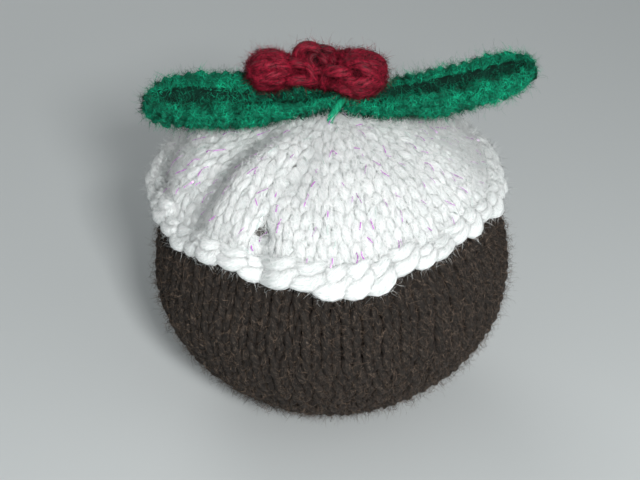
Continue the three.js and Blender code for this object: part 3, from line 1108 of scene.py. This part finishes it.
def make_cap():
    rng = random.Random(SEED + 1)
    points, normals, length, below = cap_surface(5 * MM)
    inset = WHITE["yarn"] * MM * 1.35
    cloth = fabric("cap_fabric", points - normals * inset, normals)
    hem = below / length
    paths = [stitch_path(WHITE, rng) for _ in range(VARIANTS)]
    shapes = collect("white_stitches", [stitch_object(f"white_stitch_{k}", WHITE, path, rng)
                                        for k, path in enumerate(paths)])
    stitches = wale_chart(points, length, WHITE, hem + 0.10, 0.985, rng, 9)
    # some stitches are drawn in so that a gap opens beside them, and one has slipped at the pucker
    cols, tall = points.shape[1], len(points) - 1
    pucker = points[:, int(PUCKER[0] * cols)]
    pucker = pucker[np.argmin(np.abs(pucker[:, 2] - PUCKER[1] * MM))]

    def place(stitch):
        middle = min((stitch[1] + stitch[3]) * tall, tall)
        return points[int(round(middle)), int(stitch[0] * cols) % cols]

    stitches = [(s[0], s[1], s[2] * rng.uniform(0.84, 1.04), *s[3:]) for s in stitches
                if np.linalg.norm(place(s) - pucker) > PUCKER_GAP * MM]
    chart = chart_object("white_chart", stitches)
    cap = knit("cap_knitting", shapes, cloth, chart, white_yarn, WANDER)
    discard(shapes, chart)
    finish_piece(cap, "white_knit", "icing_cap")
    edge = make_hem(points, cloth, length, hem, rng)
    make_tinsel(paths, stitches, cloth, rng)
    discard(cloth)

    # the lining and the fibres start above the hem, so that nothing shows under it
    first = int((hem + 0.06) * len(points))
    rows = [*range(first, tall, 3), tall]
    core = core_object("cap_lining", points[rows, ::3], normals[rows, ::3], inset + 0.3 * MM,
                       lining_finish(pucker))
    finish_piece(core, "white_knit")
    above = slice(int((hem + 0.11) * len(points)), -1)
    cover = np.clip(np.linalg.norm(points - pucker, axis=2) / MM / 2.2 - 0.2, 0, 1)
    skin = fabric("cap_skin", (points - normals * 0.12 * MM)[above], normals[above], cover[above])
    add_fuzz(skin, "cap_fibres", white_fibre, 26000, (0.5, 1.5), 0.22, 2.4, 0.036, 13, "white_knit")
    add_fuzz(edge, "hem_fibres", white_fibre, 8500, (0.4, 1.3), 0.3, 1.7, 0.03, 14, "white_knit")
    discard(skin)


# =====================================================================================
# The green leaves
# =====================================================================================

def make_leaf(node, seed):
    rng = random.Random(SEED + seed)
    points, normals, length = leaf_surface(node)
    inset = GREEN["yarn"] * MM * 1.3
    p = points - normals * inset
    cloth = fabric(node + "_fabric", p, normals)
    shapes = collect(node + "_stitches", [
        stitch_object(f"{node}_stitch_{k}", GREEN, stitch_path(GREEN, rng, purl=True), rng)
        for k in range(VARIANTS)])
    stitches = wale_chart(p, length, GREEN, 0.012, 0.985, rng, 5)
    # the stitches' tone goes below 0 in the groove, where the yarn finish paints shade and fewer fibres grow
    shares = [float(groove(node, s[0], s[1] + s[3] / 2)) for s in stitches]
    stitches = [(*s[:4], s[4] * (1 - g) - g, s[5]) for s, g in zip(stitches, shares)]
    chart = chart_object(node + "_chart", stitches)
    leaf = knit(node + "_knitting", shapes, cloth, chart, green_yarn, 0.6)
    discard(shapes, cloth, chart)
    finish_piece(leaf, "green_knit", node)

    # the core keeps clear of the tips, where the rings are small
    inner = (slice(5, -5, 3), slice(None, None, 3))
    ring_middles = points.mean(axis=1, keepdims=True)
    shrunk = ring_middles + (points - ring_middles) * 0.6
    finish_piece(core_object(node + "_core", shrunk[inner], normals[inner], 0, green_core), "green_knit")

    skin = fabric(node + "_skin", (points - normals * 0.2 * MM)[1:-1], normals[1:-1])
    add_fuzz(leaf, node + "_fibres", green_fibre, 22000, (0.5, 1.4), 0.25, 1.5, 0.04, 20 + seed,
             "green_knit")
    add_fuzz(skin, node + "_halo", green_fibre, 3600, (0.5, 1.5), 0.8, 1.9, 0.011, 30 + seed,
             "green_knit", True)
    discard(skin)


# =====================================================================================
# The red berries
# =====================================================================================

def yarn_object(name, paths, material, rng, box):
    """Fat strands of yarn as one piece. Each path has x, y, z in metres and the radius in mm, and
    says whether it is closed. What lies deep in the box is in shade."""
    parts, tones = [], []
    middle, half = (box[0] + box[1]) / 2, (box[1] - box[0]) / 2
    for path, closed in paths:
        out = path[:, :3] - middle
        verts, faces, uv = strand(path[:, :3], path[:, 3] * MM, 10, closed, out=out)
        uv[:, 0] = uv[:, 0] / MM + rng.uniform(0, 40)
        parts.append((verts, faces, uv))
        tones += [rng.random()] * len(verts)
    verts, faces, uv = joined(parts)
    obj = make_object(name, verts, faces)
    put_uv(obj.data, "yarn", uv)
    put_floats(obj.data, "tone", tones)
    # depth: the yarn finish paints shade on what lies deep in the box
    reach = np.linalg.norm((verts - middle) / half, axis=1)
    put_floats(obj.data, "depth", np.clip((reach - 0.66) / 0.32, 0, 1))
    obj.data.materials.append(material)
    return obj


def pole_loops(centre, half, start, end, loops, radius, rng):
    """Loops of yarn that run over a bobble from one end to the other and back underneath."""
    start, end = np.array(start, float), np.array(end, float)
    axis = (end - start) / np.linalg.norm(end - start)
    first = np.cross(axis, (0, 0, 1.0))
    first /= np.linalg.norm(first)
    second = np.cross(axis, first)
    made = []
    for n in range(loops):
        keys = []
        phase = math.pi * (n + rng.uniform(-0.12, 0.12)) / loops
        for k in range(14):
            t = k / 14 * TAU
            bend = phase + 0.22 * math.sin(t * 2 + n * 1.7)
            way = axis * -math.cos(t) + (first * math.cos(bend) + second * math.sin(bend)) * math.sin(t)
            # the ends of the loops are shared, so the later loops lie under the first
            near_end = abs(math.cos(t))
            tuck = 1 - 0.12 * n / loops * near_end - rng.uniform(0, 0.09)
            reach = way * tuck + (start + end) / 2 * (1 - near_end)
            spot = centre + reach * (half - radius * MM * 0.9)
            keys.append((*spot, radius * rng.uniform(0.84, 1.12) * (1 - 0.25 * near_end ** 3)))
        made.append((smooth_path(keys, 40, closed=True), True))
    return made


def small_loops(centre, half, count, size, radius, rng):
    """Small rings of yarn all over a bobble, like bunched stitches."""
    made = []
    for n in range(count):
        z = 1 - 2 * (n + 0.5) / count
        a = n * GOLDEN_ANGLE + rng.uniform(-0.3, 0.3)
        way = np.array([math.cos(a) * math.sqrt(1 - z * z), math.sin(a) * math.sqrt(1 - z * z), z])
        side = np.cross(way, (0.3, 0.2, 1.0))
        side /= np.linalg.norm(side)
        over = np.cross(way, side)
        spin = rng.uniform(0, TAU)
        long, short = size * rng.uniform(1.0, 1.35), size * rng.uniform(0.55, 0.8)
        spot = centre + way * (half - radius * MM)
        keys = []
        for k in range(8):
            t = k / 8 * TAU
            x, y = math.cos(t) * long, math.sin(t) * short
            x, y = x * math.cos(spin) - y * math.sin(spin), x * math.sin(spin) + y * math.cos(spin)
            dip = (x * x + y * y) / (2 * half.mean() / MM)
            at = spot + (side * x + over * y - way * dip + way * rng.uniform(-0.35, 0.35)) * MM
            keys.append((*at, radius * rng.uniform(0.88, 1.1)))
        made.append((smooth_path(keys, 20, closed=True), True))
    return made


def middle_berry(low, high, grow, rng):
    """A bobble of small loops under two loops of yarn that stand up."""
    knob = high[2] - 2.2 * MM
    centre, half = (low + high) / 2, (high - low) / 2 + grow
    half = np.array([half[0], half[1], (knob - low[2]) / 2 + grow])
    centre = np.array([centre[0], centre[1], (knob + low[2]) / 2])
    made = small_loops(centre, half, 15, 2.0, 1.05, rng)
    foot = np.array([low[0] + 2.6 * MM, centre[1] - 1.0 * MM, knob])
    arch = [(-2.6, 0.2, -2.2), (-2.5, 0, -0.4), (-1.3, -0.1, 1.0), (0.4, -0.1, 1.15),
            (1.9, 0, 0.1), (2.5, 0.2, -1.8)]
    side = [(2.0, 1.2, -1.0), (3.2, 0.6, 0.1), (4.6, 0.4, 0.0), (5.6, 0.8, -1.6)]
    for keys, radius, count in ((arch, 1.15, 22), (side, 0.95, 14)):
        keys = [(*(foot + np.array(key) * MM), radius) for key in keys]
        made.append((smooth_path(keys, count), False))
    return made


def bridges(left, middle, right, rng):
    """Strands that run on from one berry into the next. left, middle and right are their boxes."""
    def at(box, x, y, z):
        low, high = box
        return (low + high) / 2 + (high - low) / 2 * np.array([x, y, z])

    made = []
    for a, b, r in ((at(left, 0.4, -0.8, -0.25), at(middle, 0.0, -0.95, -0.45), 1.25),
                    (at(left, 0.5, -0.3, 0.5), at(middle, -0.3, -0.7, 0.1), 1.1),
                    (at(middle, 0.0, -0.9, 0.05), at(right, -0.5, -0.75, 0.2), 1.3),
                    (at(middle, 0.2, -0.6, -0.6), at(right, -0.4, -0.85, -0.5), 1.25),
                    (at(middle, 0.5, 0.3, 0.2), at(right, -0.5, 0.2, 0.75), 1.2)):
        out = np.array([0, -0.9, 0.4]) * MM
        keys = [a * 0.85 + b * 0.15 - out, a * 0.7 + b * 0.3 + out * 0.3, (a + b) / 2 + out,
                a * 0.3 + b * 0.7 + out * 0.3, a * 0.1 + b * 0.9 - out]
        made.append((smooth_path([(*k, r * rng.uniform(0.9, 1.1)) for k in keys], 14), False))
    return made


def make_berries():
    rng = random.Random(SEED + 5)
    grow = 0.45 * MM
    boxes = {node: [np.array(v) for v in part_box(node)]
             for node in ("berry_left", "berry_middle", "berry_right")}
    paths = {}
    for node, (low, high) in boxes.items():
        centre, half = (low + high) / 2, (high - low) / 2 + grow
        if node == "berry_left":
            paths[node] = pole_loops(centre, half, (-1, 0.1, 0.1), (1.0, -0.15, -0.25), 6, 1.3, rng)
        elif node == "berry_right":
            inward = np.array([0.7 * MM, 0, 0])
            paths[node] = pole_loops(centre - inward, half + inward, (-0.9, 0.1, 0.25),
                                     (0.9, -0.1, -0.5), 5, 1.5, rng)
        else:
            paths[node] = middle_berry(low, high, grow, rng)
    paths["berry_middle"] += bridges(*boxes.values(), rng)
    for number, node in enumerate(boxes):
        obj = finish_piece(yarn_object(node + "_yarn", paths[node], red_yarn, rng, boxes[node]),
                           "red_yarn", node)
        points, normals, _ = round_surface(node, 18, 24, 2)
        core = core_object(node + "_core", points, normals, 1.5 * MM, red_core)
        finish_piece(core, "red_yarn")
        seed = 40 + number
        add_fuzz(obj, node + "_fibres", red_fibre, 4500, (0.5, 1.4), 0.2, 1.5, 0.034, seed, "red_yarn")
        add_fuzz(obj, node + "_halo", red_fibre, 500, (0.5, 1.6), 1.5, 2.2, 0.010, seed + 9,
                 "red_yarn", True)


# =====================================================================================
# Sewing
# =====================================================================================

def make_fastening():
    """The green stitch that holds the leaves to the crown."""
    rng = random.Random(SEED + 9)
    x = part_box("leaf_left")[1].x / MM
    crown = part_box("icing_cap")[1].z / MM
    keys = [(x + 0.4, -2.2, crown + 2.6, 0.7), (x - 0.6, -4.2, crown + 2.4, 0.8),
            (x - 1.6, -5.6, crown + 1.3, 0.82), (x - 2.5, -6.5, crown + 0.3, 0.8),
            (x - 2.7, -6.6, crown - 1.2, 0.7)]
    path = smooth_path([(a * MM, b * MM, c * MM, r) for a, b, c, r in keys], 18)
    ends = np.array([path[0, :3], path[-1, :3]])
    return finish_piece(yarn_object("fastening_stitch", [(path, False)], green_strand, rng,
                                    (ends.min(0), ends.max(0))), "green_knit")


make_ball()
make_cap()
make_leaf("leaf_left", 1)
make_leaf("leaf_right", 2)
make_berries()
make_fastening()


# =====================================================================================
# Floor, light and camera
# =====================================================================================

def make_stage():
    floor_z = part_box("pudding_body")[0].z
    far = 3.0
    floor = make_object("floor", [(-far, -far, floor_z), (far, -far, floor_z),
                                  (far, far, floor_z), (-far, far, floor_z)], [(0, 1, 2, 3)])
    f = Finish("pale_floor")
    f.set(Base_Color=(0.60, 0.63, 0.63, 1), Roughness=0.85)
    floor.data.materials.append(f.material)

    world = bpy.data.worlds.new("studio")
    world.use_nodes = True
    background = world.node_tree.nodes["Background"].inputs
    background["Color"].default_value = (0.80, 0.85, 0.87, 1)
    background["Strength"].default_value = 0.22
    bpy.context.scene.world = world

    def lamp(name, at, toward, power, size):
        data = bpy.data.lights.new(name, "AREA")
        data.energy = power
        data.size = size
        obj = bpy.data.objects.new(name, data)
        bpy.context.scene.collection.objects.link(obj)
        obj.location = at
        obj.rotation_mode = "QUATERNION"
        obj.rotation_quaternion = (Vector(toward) - Vector(at)).to_track_quat("-Z", "Y")

    middle = (0, 0, 0.04)
    lamp("key", (0.085, -0.42, 0.285), middle, 2.4, 0.07)
    lamp("fill", (0.5, -0.5, 0.7), middle, 0.6, 0.6)
    lamp("back", (-0.35, 0.85, 0.5), middle, 2.8, 0.6)
    bpy.context.scene.view_settings.view_transform = "Standard"


def make_camera():
    rise = math.radians(30)
    distance = 0.314
    aim = Vector((-2.5, 0, 37.3)) * MM
    back = Vector((0, -math.cos(rise), math.sin(rise)))
    data = bpy.data.cameras.new("camera")
    data.sensor_width = 36
    data.lens = 77.2
    data.clip_start, data.clip_end = 0.01, 50
    obj = bpy.data.objects.new("camera", data)
    bpy.context.scene.collection.objects.link(obj)
    obj.location = aim + back * distance
    obj.rotation_mode = "QUATERNION"
    obj.rotation_quaternion = (-back).to_track_quat("-Z", "Y")
    bpy.context.scene.camera = obj


make_stage()
make_camera()
